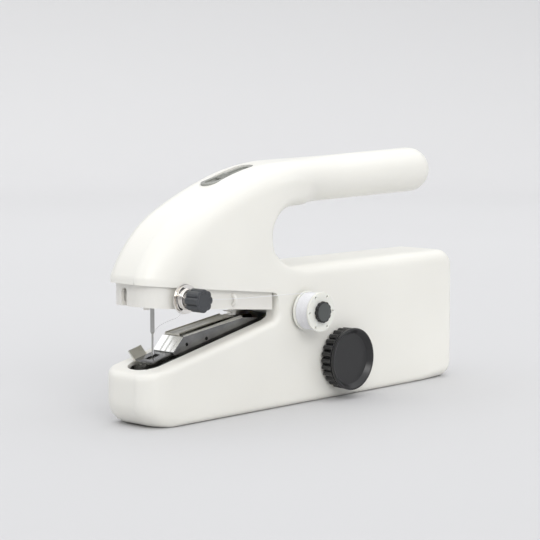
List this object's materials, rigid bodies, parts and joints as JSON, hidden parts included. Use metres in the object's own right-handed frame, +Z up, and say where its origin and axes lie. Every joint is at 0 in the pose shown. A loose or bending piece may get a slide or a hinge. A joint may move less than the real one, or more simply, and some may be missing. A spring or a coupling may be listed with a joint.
{
  "type": "handheld sewing machine",
  "caption": "White handheld battery sewing machine with a C-shaped handle, needle arm over a sloping cloth bed, side bobbin and black handwheel.",
  "frame": {"origin": "on the floor, in the middle of the body's length and width", "axes": "+X from the needle nose to the rear, +Y away from the handwheel side, +Z up"},
  "size_m": [0.225, 0.0496, 0.1231],
  "materials": {
    "white_plastic": "satin",
    "arm_plastic": "satin",
    "clear_plastic": "satin",
    "black_plastic": "satin",
    "grey_plastic": "satin",
    "chrome": "polished",
    "pressed_steel": "satin",
    "gear_plastic": "satin",
    "brass": "satin",
    "motor_can": "satin",
    "cell_wrap": "gloss",
    "thread": "matte"
  },
  "bodies": {
    "casing": {"near_shell": "white_plastic", "far_shell": "white_plastic", "shell_screws": "chrome", "bed_tray": "white_plastic", "arm_pivot_pin": "chrome", "presser_pin": "chrome", "looper_bearings": "grey_plastic", "gear_frame": "grey_plastic", "shaft_bushes": "brass", "idler_shaft": "chrome", "motor": "motor_can", "battery_1": "cell_wrap", "battery_2": "cell_wrap", "battery_3": "cell_wrap", "battery_4": "cell_wrap", "battery_contacts": "pressed_steel", "battery_tray": "white_plastic", "dc_jack": "black_plastic", "switch_bezel": "grey_plastic", "switch_body": "black_plastic", "bobbin_spindle": "arm_plastic", "bobbin_washer": "chrome"},
    "needle_arm": {"needle_arm": "arm_plastic", "needle": "chrome", "tension_bush": "arm_plastic", "tension_stud": "chrome", "tension_discs": "chrome", "tension_spring": "chrome", "thread_guide": "arm_plastic", "wrist_pin": "chrome", "upper_thread": "thread"},
    "clamp_screw": {"needle_clamp_screw": "chrome"},
    "tension_knob": {"tension_knob": "black_plastic"},
    "presser": {"presser_arm": "pressed_steel", "presser_spring": "chrome"},
    "looper": {"looper": "pressed_steel", "looper_shaft": "pressed_steel", "looper_lever": "pressed_steel"},
    "feed": {"feed_dog": "pressed_steel"},
    "drive": {"handwheel": "black_plastic", "main_shaft": "chrome", "eccentric": "gear_plastic", "main_gear": "gear_plastic"},
    "rod": {"connecting_rod": "gear_plastic"},
    "idler": {"idler_gear": "gear_plastic"},
    "rotor": {"motor_pinion": "gear_plastic", "motor_shaft": "chrome"},
    "battery_door": {"battery_cover": "white_plastic"},
    "switch": {"switch_slider": "grey_plastic"},
    "bobbin": {"bobbin": "clear_plastic", "bobbin_thread": "thread"},
    "bobbin_cap": {"bobbin_cap": "black_plastic"}
  },
  "joints": [
    {"name": "needle_arm_swing", "type": "hinge", "parent": "casing", "child": "needle_arm", "pos_m": [-0.0205, 0, 0.05], "axis": [0, 1, 0], "range_deg": [-8, 0], "deforming": ["presser_spring"]},
    {"name": "clamp_screw_turn", "type": "hinge", "parent": "needle_arm", "child": "clamp_screw", "pos_m": [-0.1025, 0, 0.059], "axis": [1, 0, 0], "range_deg": [0, 360]},
    {"name": "tension_knob_turn", "type": "hinge", "parent": "needle_arm", "child": "tension_knob", "pos_m": [-0.0915, -0.026, 0.0593], "axis": [0, 1, 0], "range_deg": [-360, 360]},
    {"name": "presser_lift", "type": "hinge", "parent": "casing", "child": "presser", "pos_m": [-0.022, 0, 0.0405], "axis": [0, 1, 0], "range_deg": [0, 4.5], "deforming": ["presser_spring"]},
    {"name": "looper_swing", "type": "hinge", "parent": "casing", "child": "looper", "pos_m": [-0.0695, 0, 0.0115], "axis": [1, 0, 0], "range_deg": [-20, 20]},
    {"name": "feed_slide", "type": "slide", "parent": "casing", "child": "feed", "axis": [1, 0, 0], "range_m": [-0.0013, 0.0013]},
    {"name": "handwheel_turn", "type": "hinge", "parent": "casing", "child": "drive", "pos_m": [0.0179, 0, 0.0202], "axis": [0, 1, 0], "continuous": true},
    {"name": "rod_turn", "type": "hinge", "parent": "drive", "child": "rod", "pos_m": [0.0179, -0.00775, 0.01755], "axis": [0, 1, 0], "continuous": true},
    {"name": "idler_turn", "type": "hinge", "parent": "casing", "child": "idler", "pos_m": [0.03008, 0, 0.02723], "axis": [0, 1, 0], "continuous": true},
    {"name": "rotor_turn", "type": "hinge", "parent": "casing", "child": "rotor", "pos_m": [0.04055, 0, 0.03211], "axis": [0, 1, 0], "continuous": true},
    {"name": "battery_door_off", "type": "slide", "parent": "casing", "child": "battery_door", "axis": [0, 1, 0], "range_m": [0, 0.03]},
    {"name": "switch_slide", "type": "slide", "parent": "casing", "child": "switch", "axis": [0.9732, 0, 0.23], "range_m": [0, 0.0044]},
    {"name": "bobbin_spin", "type": "hinge", "parent": "casing", "child": "bobbin", "pos_m": [-0.009, -0.0245, 0.0466], "axis": [0, 1, 0], "continuous": true},
    {"name": "bobbin_cap_off", "type": "slide", "parent": "casing", "child": "bobbin_cap", "axis": [0, -1, 0], "range_m": [0, 0.02]}
  ],
  "couplings": [
    {"joint": "rod_turn", "follows": "handwheel_turn", "ratio": -1},
    {"joint": "idler_turn", "follows": "handwheel_turn", "ratio": -3.6667},
    {"joint": "rotor_turn", "follows": "handwheel_turn", "ratio": 13.2}
  ]
}
